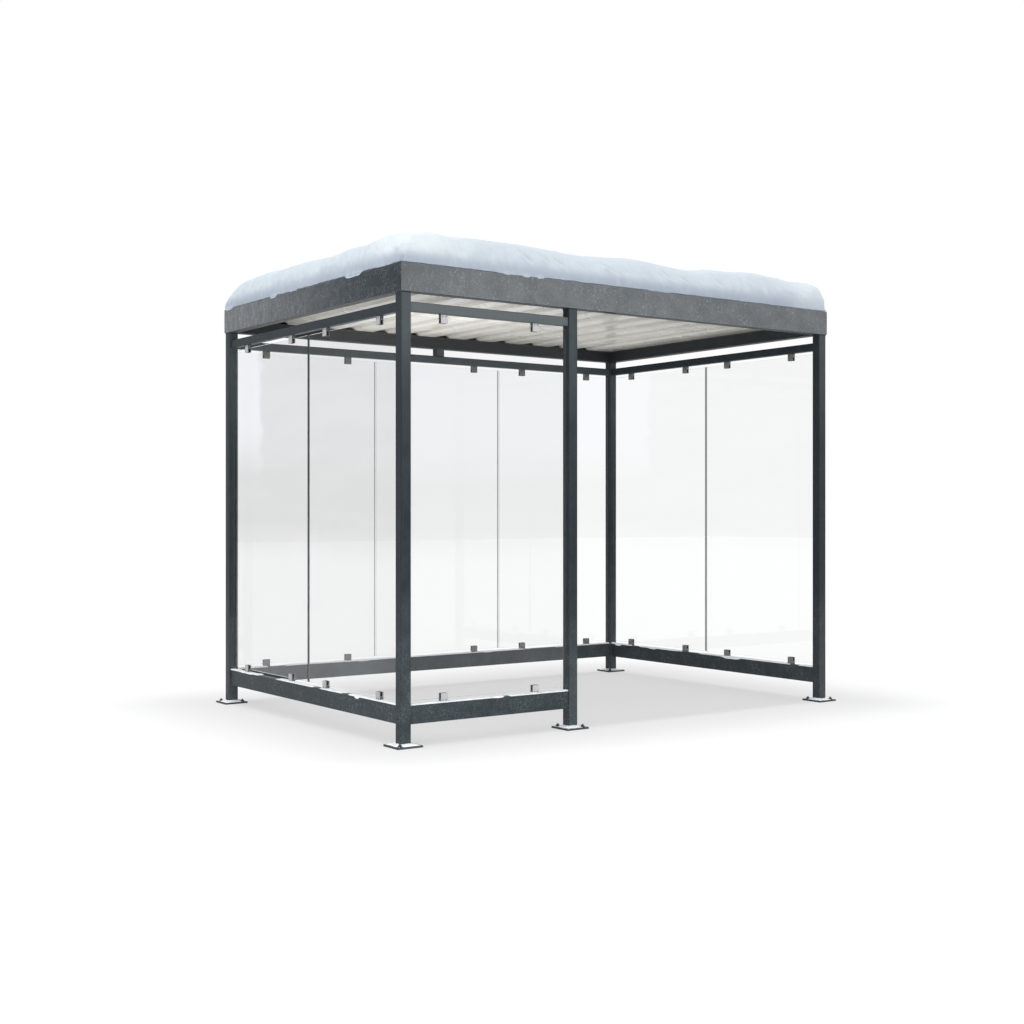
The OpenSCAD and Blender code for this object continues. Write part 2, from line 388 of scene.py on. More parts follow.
def frosted_fascia_coat():
    """Coated fascia, plain inside its gutter, with rime clouds and feathery frost outdoors, and
    painted shade towards its left end.
    """
    finish, tree = new_finish("frosted_fascia_coat")
    where = place_of(tree)
    axes = axes_of(where)
    wide = sums("DIVIDE", sums("ABSOLUTE", axes[0]), FASCIA_HALF_X)
    deep = sums("DIVIDE", sums("ABSOLUTE", axes[1]), FASCIA_HALF_Y)
    outdoors = between(sums("MAXIMUM", wide, deep), 0.9975, 0.9990)
    clouds = grain(where, 8.0, 6, 0.62, 0.3)
    flakes = grain(where, 55.0, 5, 0.72)
    patches = grain(place_of(tree, (1, 0.7, 1)), 15.0, 3, 0.55)
    frost = feathery_frost(tree, flakes, patches)
    shade = outdoor_rime(tree, clouds, flakes, patches, frost)
    # Painted shade: darker at the left end of the front fascia and along the left fascia.
    corner = between(axes[0], 0.35 - FASCIA_HALF_X, 0.05 - FASCIA_HALF_X, 0.0, 0.28)
    shade = tint(corner, shade, (0.060, 0.070, 0.075))
    shade = left_run_rime(tree, axes, clouds, flakes, frost, shade)
    shade = tint(outdoors, gutter_inside(tree, axes, clouds), shade)
    sockets = {
        "Base Color": shade,
        "Roughness": between(flakes, 0.3, 0.7, 0.45, 0.65),
        "Specular IOR Level": 0.2,
        "Normal": raised(flakes, 0.0004, 0.5),
    }
    return opaque(finish, sockets)


def feathery_frost(tree, flakes, patches):
    """Ferns and twigs of frost, broken up by flakes and patches."""
    ferns = grain(place_of(tree, (1, 0.6, 1)), 60.0, 3, 0.55, 1.5)
    twigs = grain(place_of(tree, (1, 0.6, 1)), 110.0, 3, 0.6, 1.2)
    frost = plus(veins(ferns, 0.036, 0.9), veins(twigs, 0.040, 0.5))
    frost = times(frost, between(flakes, 0.40, 0.58, 0.30, 1.0))
    return times(frost, between(patches, 0.38, 0.60, 0.25, 1.0), clamp=True)


def outdoor_rime(tree, clouds, flakes, patches, frost):
    """The grey of thin rime outdoors, with flakes, feathers and bright pinpoints."""
    cloudy = between(clouds, 0.35, 0.65)
    shade = tint(cloudy, (0.146, 0.160, 0.171), (0.184, 0.199, 0.210))
    shade = tint(between(flakes, 0.50, 0.74, 0, 0.34), shade, (0.34, 0.355, 0.37))
    shade = tint(times(frost, 0.22), shade, (0.40, 0.42, 0.44))
    pin = between(grain(place_of(tree), 130.0, 3, 0.6), 0.57, 0.68)
    bright = times(pin, between(patches, 0.40, 0.60, 0.12, 1.0))
    return tint(times(bright, 0.42), shade, (0.70, 0.72, 0.74))


def left_run_rime(tree, axes, clouds, flakes, frost, shade):
    """The mottled and dotted rime of the left fascia, with painted light on its rear part and painted
    shade towards its front end.
    """
    left = between(axes[0], 0.003 - FASCIA_HALF_X, 0.001 - FASCIA_HALF_X)
    along = plus(axes[1], times(clouds, 0.1))
    # Painted light: paler towards the rear end.
    far = times(left, between(along, 0.2, 0.9, 0.0, 0.09))
    shade = tint(far, shade, (0.42, 0.44, 0.46))
    mottles = grain(place_of(tree, (1, 1, 0.6)), 28.0, 4, 0.65)
    pale = times(left, between(mottles, 0.48, 0.68, 0.0, 0.20))
    shade = tint(pale, shade, (0.42, 0.44, 0.46))
    dull = times(left, between(mottles, 0.52, 0.34, 0.0, 0.32))
    shade = tint(dull, shade, (0.085, 0.095, 0.103))
    specks = between(grain(place_of(tree), 62.0, 2, 0.5), 0.61, 0.72)
    dots = times(times(left, specks), 0.34)
    shade = tint(dots, shade, (0.60, 0.62, 0.64))
    # Painted shade: towards the front end the run takes a darker coat that still has frost strokes.
    flaked = between(flakes, 0.35, 0.65)
    shaded_rime = tint(flaked, (0.012, 0.018, 0.026), (0.028, 0.038, 0.047))
    shaded_rime = tint(times(frost, 0.50), shaded_rime, (0.31, 0.34, 0.37))
    thin = between(along, -0.90, 0.85, 1.0, 0.0)
    return tint(times(left, thin), shade, shaded_rime)


def gutter_inside(tree, axes, clouds):
    """The fascia's coat inside the gutter, with painted light near the sheets, and paler under the
    left run.
    """
    shade = tint(clouds, (0.022, 0.027, 0.029), (0.032, 0.037, 0.039))
    # Painted light on the inside faces near the sheets.
    sheet_light = between(axes[2], SHEET_PAN - 0.010, SHEET_PAN + 0.002)
    shade = tint(sheet_light, shade, (0.110, 0.108, 0.102))
    below = between(axes[0], 0.08 - FASCIA_HALF_X, 0.06 - FASCIA_HALF_X)
    below = times(below, facing(tree, 2, -1.0))
    return tint(below, shade, (0.088, 0.091, 0.095))


def cream_roof_sheet():
    """Glossy cream coil-coated steel, with painted shade in the hollows of its ribs, in bands beside
    them and over its underside.
    """
    finish, tree = new_finish("cream_roof_sheet")
    where = place_of(tree)
    across, deep, up = axes_of(where)
    clouds = grain(where, 3.0, 3, 0.5)
    rolled = grain(place_of(tree, (14, 0.5, 14)), 4.0, 2, 0.5)
    shade = tint(between(clouds, 0.3, 0.7), (0.81, 0.79, 0.73), (0.86, 0.84, 0.78))
    shade = tint(between(rolled, 0.4, 0.8, 0, 0.08), shade, (0.76, 0.74, 0.69))
    shade = tint(rib_shade_bands(across, deep, clouds), shade, (0.55, 0.535, 0.495))
    shade = underside_shade(across, deep, shade)
    # Painted shade in the hollows of the ribs.
    hollow_shade = between(up, SHEET_PAN + 0.002, SHEET_PAN + 0.017, 0.0, 0.35)
    sockets = {
        "Base Color": tint(hollow_shade, shade, (0.50, 0.47, 0.41)),
        "Roughness": between(clouds, 0.3, 0.7, 0.23, 0.30),
        "Specular IOR Level": 0.35,
    }
    return opaque(finish, sockets)


def rib_shade_bands(across, deep, clouds):
    """Painted shade in bands front to rear beside the ribs, wider towards the front."""
    aside = sums("WRAP", plus(across, RIB_START), RIB_PITCH, 0.0)
    beside = sums("SUBTRACT", aside, RIB_PITCH / 2)
    beside = plus(beside, times(clouds, 0.006))
    far = plus(beside, between(deep, -0.9, -0.3, 0.0, 0.036))
    band = between(beside, -0.100, -0.050)
    band = times(band, between(far, 0.100, 0.064))
    return times(band, between(deep, -0.5, 0.1, 1.0, 0.76))


def underside_shade(across, deep, shade):
    """Painted shade under the sheets, heaviest at the left end and along the front."""
    centre_shade = between(across, -0.55, 0.25, 0.0, 0.65)
    centre_shade = times(centre_shade, between(across, 0.6, 1.2, 1.0, 0.50))
    left = between(across, -0.65, -1.15, 0.0, 0.85)
    front = between(across, -0.2, 0.5, 0.80, 0.20)
    front = times(between(deep, 0.10, -0.35), front)
    front = times(between(across, -1.14, -1.00, 0.15, 1.0), front)
    edge = between(deep, -0.35, -0.75, 0.0, 0.44)
    for share, darkening in (
        (centre_shade, (0.60, 0.60, 0.59)),
        (left, (0.38, 0.38, 0.38)),
        (front, (0.56, 0.56, 0.56)),
        (edge, (0.67, 0.67, 0.67)),
    ):
        shade = tint(share, shade, darkening, "MULTIPLY")
    return shade


def satin_stainless():
    """Brushed stainless steel, with painted shade where it faces left."""
    finish, tree = new_finish("satin_stainless")
    brush = grain(place_of(tree, (1, 1, 22)), 120.0, 3, 0.6)
    clouds = grain(place_of(tree), 40.0, 3, 0.5)
    shade = tint(between(brush, 0.3, 0.7), (0.54, 0.54, 0.54), (0.68, 0.68, 0.685))
    # Painted shade on faces to the left.
    dull = times(facing(tree, 0, -1.0), 0.45)
    sockets = {
        "Base Color": tint(dull, shade, (0.30, 0.30, 0.305)),
        "Metallic": 1.0,
        "Roughness": between(clouds, 0.3, 0.7, 0.34, 0.46),
        "Normal": raised(brush, 0.00008, 0.4),
    }
    return opaque(finish, sockets)


def grainy_metal(name, scale, dark, pale, metal, roughest):
    """A dull metal with a fine grain: cast jaws, or the zinc of nuts, washers and studs."""
    finish, tree = new_finish(name)
    fine = grain(place_of(tree), scale, 4, 0.6)
    sockets = {
        "Base Color": tint(between(fine, 0.3, 0.7), dark, pale),
        "Metallic": metal,
        "Roughness": between(fine, 0.3, 0.7, 0.4, roughest),
        "Normal": raised(fine, 0.0001, 0.4),
    }
    return opaque(finish, sockets)


def black_rubber():
    """Dull black gasket rubber."""
    finish, tree = new_finish("black_rubber")
    fine = grain(place_of(tree), 300.0, 3, 0.6)
    sockets = {
        "Base Color": tint(fine, (0.010, 0.010, 0.011), (0.024, 0.024, 0.026)),
        "Roughness": between(fine, 0.3, 0.7, 0.6, 0.8),
        "Normal": raised(fine, 0.0001, 0.5),
    }
    return opaque(finish, sockets)


def clear_glass():
    """Clear toughened glass with a painted reflection: greyer above hip height, most on the left
    wall, paler high up near the rear, and glossier low down.
    """
    finish, tree = new_finish("clear_glass")
    where = place_of(tree)
    across, deep, up = axes_of(where)
    # Painted reflection: greyer above hip height, most on the left wall, and paler and bluer high up
    # near the rear.
    level = plus(up, times(grain(where, 1.4, 2, 0.4), 0.12))
    upper = between(level, 0.95, 1.22)
    panels = grain(place_of(tree, (0.9, 0.9, 5.5)), 1.3, 2, 0.4)
    upper = times(upper, between(panels, 0.38, 0.62, 0.82, 1.0))
    edge = plus(deep, times(grain(where, 7.0, 4, 0.6), 0.25))
    pale_reflection = times(between(edge, 0.70, 0.80), between(up, 1.35, 1.85))
    upper = times(upper, sums("SUBTRACT", 1.0, pale_reflection))
    faint = tint(upper, (0.976, 0.976, 0.976), (0.956, 0.957, 0.958))
    strong = tint(upper, (0.938, 0.938, 0.938), (0.890, 0.890, 0.891))
    through = tint(between(across, -1.50, -1.54), faint, strong)
    through = tint(times(pale_reflection, 0.7), through, (0.970, 0.978, 0.990))
    clear = add(tree, "BsdfTransparent", {"Color": through})
    gloss = add(tree, "BsdfGlossy", {"Color": (0.95, 0.96, 0.97, 1), "Roughness": 0.02})
    front = sums("SUBTRACT", 1.0, add(tree, "NewGeometry").outputs["Backfacing"])
    bounce = add(tree, "Fresnel", {"IOR": 1.45}).outputs[0]
    # The gloss is stronger low down and weaker high up, a painted reflection.
    sheen = times(bounce, between(up, 0.4, 1.6, 1.3, 0.35))
    return blended(finish, times(sheen, front, clamp=True), clear, gloss)


def polished_glass_edge(name, dark, pale):
    """The upright edge of a pane, grey-green, or pale as a painted highlight."""
    finish, tree = new_finish(name)
    fine = grain(place_of(tree, (1, 1, 0.1)), 90.0, 3, 0.6)
    sockets = {
        "Base Color": tint(fine, dark, pale),
        "Roughness": between(fine, 0.3, 0.7, 0.1, 0.22),
    }
    return opaque(finish, sockets)


def faint_glass_edge():
    """A top or bottom glass edge, which lets nearly all light through."""
    finish, tree = new_finish("faint_glass_edge")
    fine = grain(place_of(tree), 90.0, 3, 0.6)
    shade = tint(fine, (0.90, 0.93, 0.92), (0.97, 0.98, 0.98))
    clear = add(tree, "BsdfTransparent", {"Color": shade})
    gloss = add(tree, "BsdfGlossy", {"Color": (0.9, 0.92, 0.92, 1), "Roughness": 0.1})
    bounce = add(tree, "Fresnel", {"IOR": 1.3}).outputs[0]
    return blended(finish, bounce, clear, gloss)


def drifted_snow():
    """Old packed snow with fine grains and runnels down its shoulders, and painted shade and light
    over it.
    """
    finish, tree = new_finish("drifted_snow")
    where = place_of(tree)
    flow = add(tree, "Attribute", attribute_name="flow").outputs["Vector"]
    fine = work("Mapping", {"Vector": flow, "Scale": (1, 1, 0.35)}).outputs[0]
    runnels = grain(fine, 28.0, 4, 0.6, 0.9)
    rills = grain(fine, 95.0, 3, 0.6, 0.2)
    grains = grain(where, 260.0, 3, 0.7)
    lumps = grain(where, 22.0, 4, 0.55)
    up = upward(tree)
    steep = between(up, 0.97, 0.70)
    shade = shaded_snow(where, up)
    shade = runnel_shade(tree, runnels, steep, shade)
    # Painted shade on the upright ridge at the front left corner.
    ridge_shade = times(facing(tree, 0, -1.0), facing(tree, 1, -1.0))
    ridge_shade = between(ridge_shade, 0.10, 0.42)
    streaks = times(plus(runnels, times(rills, 0.25)), steep)
    height = plus(times(lumps, 0.5), streaks)
    shape = raised(height, 0.010, 0.36)
    sockets = {
        "Base Color": tint(ridge_shade, shade, (0.86, 0.87, 0.89), "MULTIPLY"),
        "Roughness": between(grains, 0.3, 0.7, 0.6, 0.85),
        "Specular IOR Level": 0.03,
        "Normal": raised(grains, 0.0012, 0.35, shape),
    }
    return opaque(finish, sockets)


def shaded_snow(where, up):
    """Painted blue-grey shade where the snow turns down, and painted light at the front left corner
    and the right end.
    """
    across, _, level = axes_of(where)
    clouds = grain(where, 3.0, 4, 0.5)
    # Painted shade: bluer and darker the further the snow turns from the sky.
    open_sky = between(up, -0.05, 0.50)
    shade = tint(open_sky, (0.434, 0.493, 0.587), (0.705, 0.772, 0.835))
    shade = tint(between(clouds, 0.3, 0.7, 0, 0.25), shade, (0.67, 0.735, 0.80))
    corner = (-FASCIA_HALF_X, -FASCIA_HALF_Y, 2.62)
    apart = work("VectorMath", {0: where, 1: corner}, operation="DISTANCE").outputs["Value"]
    # Painted light near the front left corner.
    corner_light = times(between(apart, 0.58, 0.14), between(up, 0.0, 0.5, 0.0, 0.80))
    corner_light = times(corner_light, between(level, 2.515, 2.585))
    shade = tint(corner_light, shade, (0.88, 0.95, 0.97))
    # Painted light at the right end.
    end = between(across, 1.15, 1.55, 0.0, 0.38)
    return tint(end, shade, (0.88, 0.94, 0.97))


def runnel_shade(tree, runnels, steep, shade):
    """Painted shade in the hollows and painted light on the crests of the runnels and the slanting
    folds.
    """
    calm = between(facing(tree, 1, -1.0), 0.0, 0.5, 1.0, 0.42)
    # Painted shade in the runnels and the folds' hollows, painted light on their crests.
    dark = times(between(runnels, 0.46, 0.74, 0, 0.26), steep)
    shade = tint(times(dark, calm), shade, (0.40, 0.47, 0.56))
    folds = add(tree, "Attribute", attribute_name="fold").outputs["Fac"]
    hollow_shade = between(folds, 0.1, 1.0, 0, 0.36, False)
    shade = tint(hollow_shade, shade, (0.42, 0.49, 0.58))
    crest = between(folds, -0.05, -0.5, 0, 0.12, False)
    shade = tint(crest, shade, (0.88, 0.93, 0.96))
    pale = times(between(runnels, 0.48, 0.30, 0, 0.12), steep)
    return tint(pale, shade, (0.86, 0.90, 0.93))


def fresh_snow():
    """Clean fresh snow, almost pure white, with fine grains."""
    finish, tree = new_finish("fresh_snow")
    where = place_of(tree)
    grains = grain(where, 300.0, 3, 0.7)
    lumps = grain(where, 60.0, 3, 0.5)
    sockets = {
        "Base Color": tint(between(lumps, 0.35, 0.7), (0.95, 0.97, 0.99), (0.88, 0.92, 0.96)),
        "Roughness": between(grains, 0.3, 0.7, 0.6, 0.85),
        "Specular IOR Level": 0.5,
        "Normal": raised(grains, 0.0010, 0.35),
    }
    return opaque(finish, sockets)


# --------------------------------------------------------------------- pieces


def glass_pane(pane, finishes):
    """One toughened pane with rounded corners and polished, eased edges."""
    low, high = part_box(pane + "_glass")
    through = wall_of(pane)[1]
    bm = bmesh.new()
    sharp_block(bm, low, high)
    round_over(bm, [edge for edge in bm.edges if runs_along(edge, through)], PANE_CORNER, 4)
    bm.normal_update()
    sides = [face for face in bm.faces if abs(face.normal[through]) > 0.9]
    round_over(bm, {edge for face in sides for edge in face.edges}, ARRIS, 1)
    bm.normal_update()
    for face in bm.faces:
        face.material_index = CLEAR
        if abs(face.normal[through]) < 0.98:
            face.material_index = FAINT_EDGE if abs(face.normal.z) > 0.6 else GREEN_EDGE
        # Painted highlight: the left end faces of these panes get the pale edge.
        if face.normal.x < -0.6 and pane in ("front", "rear_middle", "rear_right"):
            face.material_index = LIT_EDGE
    piece = put_together(pane + "_pane", bm, finishes, [pane + "_glass"])
    piece.visible_diffuse = False


def clamp_set(pane, finishes):
    """The four clamps of one pane, its outdoor jaw faces stainless and the rest dull, the dull sides
    of the outdoor jaws a painted shade.
    """
    low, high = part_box(pane + "_clamps")
    along, through, outside = wall_of(pane)
    bm = bmesh.new()
    for centre in (low[along] + CLAMP_W / 2, high[along] - CLAMP_W / 2):
        for rail, inner in ((low.z, 1), (high.z, -1)):
            clamp(bm, centre, rail, inner, pane)
    bm.normal_update()
    # Painted shade: faces of the outdoor jaws that do not face outdoors get the darker dull steel.
    for face in bm.faces:
        if face.material_index == STAINLESS and face.normal[through] * outside < 0.5:
            face.material_index = DULL_STEEL
    put_together(pane + "_clamp_set", bm, finishes, [pane + "_clamps"])


def clamp(bm, centre, rail, inner, pane):
    """One clamp: two jaws on a packer, rubber on both faces of the glass, and two screws."""
    low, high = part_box(pane + "_clamps")
    glass_low, glass_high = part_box(pane + "_glass")
    along, through, outside = wall_of(pane)
    foot = glass_low.z - low.z - GLASS_SEAT

    def box(across, depth, rise, edge, finish, segments=2):
        corner, other = Vector((0, 0, 0)), Vector((0, 0, 0))
        corner[along], other[along] = centre - across, centre + across
        corner[through], other[through] = min(depth), max(depth)
        corner.z, other.z = sorted((rail + inner * rise[0], rail + inner * rise[1]))
        block(bm, corner, other, edge, segments, finish)

    outer_face = low[through], glass_low[through] - GASKET_T
    inner_face = glass_high[through] + GASKET_T, high[through]
    jaws = (outer_face, inner_face) if outside < 0 else (inner_face, outer_face)
    for depth, finish in zip(jaws, (STAINLESS, DULL_STEEL)):
        box(CLAMP_W / 2, depth, (0.0, CLAMP_H), JAW_EDGE, finish)
    packer = outer_face[1], inner_face[0]
    box(CLAMP_W / 2 - PACKER_IN, packer, (0.0, foot), 0.0004, DULL_STEEL, 1)
    for depth in ((outer_face[1], glass_low[through]), (glass_high[through], inner_face[0])):
        box(CLAMP_W / 2 - GASKET_IN, depth, (foot, CLAMP_H - GASKET_IN), 0.0002, RUBBER, 1)
    face = low[through] if outside < 0 else high[through]
    screws(bm, centre, rail + inner * SCREW_UP, face, wall_of(pane))


def screws(bm, centre, level, face, wall):
    """Two countersunk socket screws, seen from outdoors, each with a flat black hexagon standing in
    for the shade in its socket.
    """
    along, through, outside = wall
    way = Vector([outside if axis == through else 0 for axis in range(3)])
    turn = Vector((0, 0, 1)).rotation_difference(way).to_matrix().to_4x4()
    for side in (-1, 1):
        spot = Vector((0, 0, level))
        spot[along] = centre + side * SCREW_SPREAD
        spot[through] = face
        # The second drum is a thin black hexagon on the screw's head: painted shade in place of the
        # socket's recess.
        for radius, depth, sides, lift, finish in (
            (SCREW_R, SCREW_PROUD, 20, 0.0, ZINC),
            (SCREW_R * 0.72, 0.0002, 6, SCREW_PROUD, RUBBER),
        ):
            made = bmesh.ops.create_cone(
                bm,
                cap_ends=True,
                segments=sides,
                radius1=radius,
                radius2=radius * 0.9,
                depth=depth,
                matrix=Matrix.Translation(spot) @ turn @ Matrix.Translation((0, 0, lift - 0.0004)),
            )["verts"]
            for found in {f for v in made for f in v.link_faces}:
                found.material_index = finish


def head_shadow_band(post, finish):
    """A black rubber band round the top of a post under the fascia: a dark piece standing in for the
    shadow line there.
    """
    low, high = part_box(post + "_post")
    bm = bmesh.new()
    proud = Vector((SHADOW_BAND_PROUD, SHADOW_BAND_PROUD, 0))
    low.z = high.z - SHADOW_BAND_H
    block(bm, low - proud, high + proud, SHADOW_BAND_ROUND)
    put_together(post + "_head_shadow_band", bm, [finish])


def bolt_places(post, middle):
    """The plan places of a post's two anchors, on one diagonal of its plate."""
    way = 1 if post in ("front_left", "rear_right") else -1
    reach = ANCHOR_REACH
    return [(middle.x + side * reach, middle.y + side * way * reach) for side in (-1, 1)]


def anchor_bolts(post, finishes):
    """Two stud anchors with washers and hexagon nuts on one base plate."""
    low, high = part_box(post + "_base_plate")
    middle = (low + high) / 2
    bm = bmesh.new()
    for side, (x, y) in zip((-1, 1), bolt_places(post, middle)):
        turn = 0.4 + 0.9 * side + x
        nut, stud = high.z + WASHER_T, high.z + WASHER_T + NUT_H
        drum(bm, (x, y, high.z), WASHER_R, WASHER_T, 28, 0.0004)
        drum(bm, (x, y, nut), NUT_FLATS / math.sqrt(3), NUT_H, 6, 0.0008, turn)
        drum(bm, (x, y, stud), STUD_R, STUD_H - NUT_H, 20, 0.001)
    put_together(post + "_anchor_bolts", bm, finishes)


# ----------------------------------------------------------------------- snow


def shoulder(distance):
    """How full the snow is, from 0 to 1, at a distance in from its edge."""
    near = 1 - min(max(distance, 1e-6) / SNOW_SHOULDER, 1)
    return math.sqrt(max(1 - near**SNOW_POWER, 1e-6))


def square_shoulder(distance):
    """The same at the right end, where the snow stands more upright and a little set back."""
    near = 1 - min(max(distance - END_BACK, 1e-6) / END_SHOULDER, 1)
    return math.sqrt(max(1 - near**END_POWER, 1e-6))


def snow_height(x, y):
    """The snow's height over its edge: a flat mound with round shoulders and soft corners."""
    u, v = x / SNOW_HALF_X, y / SNOW_HALF_Y
    depth = SNOW_DEPTH + SNOW_TILT[0] * u + SNOW_TILT[1] * v
    depth += SNOW_DISH[0] * u * u + SNOW_DISH[1] * v * v
    in_x, in_y = SNOW_HALF_X - abs(x), SNOW_HALF_Y - abs(y)
    if x < 0 and y < 0:
        return depth * shoulder(filled(in_x, in_y))
    if x < 0:
        both = shoulder(in_x) ** -SNOW_CORNER + shoulder(in_y) ** -SNOW_CORNER - 1
        return depth * both ** (-1 / SNOW_CORNER)
    depth -= END_DROP * ease(u, 0.78, 0.96)
    front = shoulder(in_y)
    if y < 0:
        front += 0.3 * ease(in_x, 0.22, 0.04) * (square_shoulder(in_y + END_BACK) - front)
    both = square_shoulder(in_x) ** -SNOW_SQUARE + front**-SNOW_SQUARE - 1
    return depth * both ** (-1 / SNOW_SQUARE)


def inward_of(in_x, in_y, radius):
    """Distance in from the edge of the roof, whose nearest corner has this radius."""
    if max(in_x, in_y) > radius:
        return min(in_x, in_y)
    return radius - math.hypot(radius - in_x, radius - in_y)


def filled(in_x, in_y):
    """The same distance, where the corner is sharp at the foot and rounder higher up."""
    inward = 0.0
    for step in range(10):
        radius = min(SNOW_FOOT_ROUND + 1.5 * inward, SNOW_ROUND)
        inward = (inward + max(inward_of(in_x, in_y, radius), 0.0)) / 2
    return inward


def spread(share, half):
    """Places a row of the grid, with rows close together where the snow turns down."""
    flat = half - SNOW_SHOULDER
    length = flat + SNOW_SHOULDER * math.pi / 2
    travel = share * length
    if abs(travel) <= flat:
        return travel
    turn = min((abs(travel) - flat) / SNOW_SHOULDER, math.pi / 2)
    return math.copysign(flat + SNOW_SHOULDER * math.sin(turn), share)


# Humps and hollows of the shoulder on each side: middle, half length, and height
HUMPS = {
    "left": ((0.75, 0.50, 0.007), (-0.17, 0.34, -0.015), (-0.52, 0.16, -0.007), (-0.82, 0.22, 0.010)),
    "front": (
        (-1.36, 0.20, 0.009),
        (-1.00, 0.26, 0.010),
        (-0.76, 0.22, 0.007),
        (-0.36, 0.22, -0.010),
        (0.05, 0.24, 0.009),
        (0.47, 0.32, -0.015),
        (0.70, 0.20, 0.007),
        (1.02, 0.26, 0.016),
        (1.37, 0.15, -0.010),
    ),
    "right": ((-0.40, 0.40, 0.008), (0.35, 0.35, -0.008)),
    "rear": ((-1.00, 0.40, -0.008), (-0.20, 0.50, 0.008), (0.80, 0.40, -0.006)),
}

# Slanting folds on the front shoulder: start and how far down it is, end likewise, and depth
CREASES = (
    (-0.835, 0.130, -0.726, 0.270, 0.0055),
    (-0.670, 0.160, -0.615, 0.235, 0.0040),
    (-0.587, 0.170, -0.490, 0.285, 0.0055),
    (-0.431, 0.180, -0.370, 0.255, 0.0035),
    (-0.255, 0.170, -0.116, 0.265, 0.0045),
    (0.215, 0.165, 0.290, 0.250, 0.0045),
    (0.330, 0.150, 0.420, 0.270, 0.0055),
    (0.640, 0.180, 0.700, 0.260, 0.0035),
)

# Where the edge has slumped over the fascia: middle, half length, and how far down
SLUMPS = {
    "left": (
        (-0.92, 0.10, 0.006),
        (-0.59, 0.11, 0.019),
        (0.13, 0.06, 0.006),
        (0.39, 0.05, 0.014),
        (1.02, 0.06, 0.014),
    ),
    "front": (
        (-0.84, 0.20, 0.006),
        (-0.93, 0.025, 0.003),
        (-0.80, 0.030, 0.005),
        (-0.70, 0.030, 0.006),
        (0.17, 0.10, 0.005),
    ),
    "right": ((-0.55, 0.15, 0.010), (0.40, 0.20, 0.014), (0.90, 0.08, 0.008)),
    "rear": ((-1.10, 0.18, 0.012), (-0.25, 0.12, 0.016), (0.55, 0.20, 0.009), (1.22, 0.10, 0.013)),
}


def heaps(rows, place, full=1):
    """The height at a place of a row of heaps: middle, half length and height."""
    return sum(rise * ease(1 - abs(place - middle) / half, 0, full) for middle, half, rise in rows)


def slump(side, place):
    """How far the snow's edge hangs below the top of the fascia, at a place along one side."""
    down = -0.004 + 0.003 * noise.noise(Vector((place * 24, len(side) * 3.1, 0)))
    return down + heaps(SLUMPS[side], place, 0.45)


def side_of(x, y):
    """The side that a point on the edge is on, and its place along it."""
    if SNOW_HALF_X - abs(x) < SNOW_HALF_Y - abs(y):
        return ("left" if x < 0 else "right"), y
    return ("front" if y < 0 else "rear"), x


def roof_snow(finish):
    """The deep snow on the roof, rounded over at its edges and slumped over the fascia."""
    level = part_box("front_fascia")[1].z
    bm = bmesh.new()
    bmesh.ops.create_grid(bm, x_segments=SNOW_STEPS[0], y_segments=SNOW_STEPS[1], size=1)
    for vert in bm.verts:
        x, y = spread(vert.co.x, SNOW_HALF_X), spread(vert.co.y, SNOW_HALF_Y)
        vert.co = (x, y, level + SNOW_EDGE + snow_height(x, y))
        vert.co = round_corner(vert.co.copy())
    bm.normal_update()
    drift(bm, level)
    rim = hem(bm, open_edge(bm), lambda at: lip(at, level))
    rim = hem(bm, rim, lambda at: tuck(at, level))
    rim = hem(bm, rim, lambda at: Vector((at.x, at.y, level + BED_GAP)))
    rim = hem(bm, rim, lambda at: pull_in(at, -BED_INSET))
    bmesh.ops.edgeloop_fill(bm, edges=rim)
    put_together("deep_roof_snow", bm, [finish], ["roof_snow"], crease=55)


def along_edge(x, y):
    """How far a point is round the roof, and how far out from the flat middle of the snow."""
    flat_x, flat_y = SNOW_HALF_X - SNOW_SHOULDER, SNOW_HALF_Y - SNOW_SHOULDER
    out_x, out_y = max(abs(x) - flat_x, 0), max(abs(y) - flat_y, 0)
    quarter = SNOW_SHOULDER * math.pi / 2
    if out_y == 0:
        travel = flat_x + quarter + y + flat_y
    elif y < 0:
        travel = min(abs(x), flat_x) + SNOW_SHOULDER * math.atan2(out_x, out_y)
    else:
        corner = SNOW_SHOULDER * math.atan2(out_y, out_x)
        travel = flat_x * 2 + quarter + flat_y * 2 + corner - min(abs(x), flat_x)
    whole = 4 * (flat_x + flat_y + quarter)
    return math.copysign(travel, x), whole, math.hypot(out_x, out_y)


def flow_place(spot, top):
    """A point for patterns that run down the shoulders and meet again after one round."""
    travel, whole, out = along_edge(spot.x, spot.y)
    fall = out + max(top - spot.z, 0)
    lean = 0.25 + 0.30 * ripple((spot.x, spot.y, 0), 1.3, 6.0)
    angle = (travel - lean * fall) / whole * 2 * math.pi
    wheel = whole / (2 * math.pi)
    return Vector((wheel * math.cos(angle), wheel * math.sin(angle), fall))


def hump(x, y):
    """The height of the humps and hollows here, blended from side to side at the corners."""
    in_x, in_y = SNOW_HALF_X - abs(x), SNOW_HALF_Y - abs(y)
    across = heaps(HUMPS["left" if x < 0 else "right"], y)
    along = heaps(HUMPS["front" if y < 0 else "rear"], x)
    height = across + (along - across) * ease(in_x - in_y, -0.15, 0.15)
    inward = min(in_x, in_y)
    return height * ease(inward, 0.0, 0.07) * ease(0.7 - inward, 0.0, 0.5)


def crease(x, fall):
    """How far the snow is pushed in or out by the slanting folds along the front."""
    x += 0.022 * ripple((x, fall, 0), 6, 4.0)
    push = 0.0
    for start, high, end, low, depth in CREASES:
        along, down = end - start, low - high
        length = math.hypot(along, down)
        share = ((x - start) * along + (fall - high) * down) / length**2
        across = ((x - start) * down - (fall - high) * along) / length
        if 0 < share < 1 and abs(across) < 0.06:
            fade = math.sin(math.pi * share) ** 0.6 * depth
            push -= fade * math.exp(-((across / 0.010) ** 2))
            push += fade * 0.5 * math.exp(-(((across + 0.024) / 0.014) ** 2))
    return push


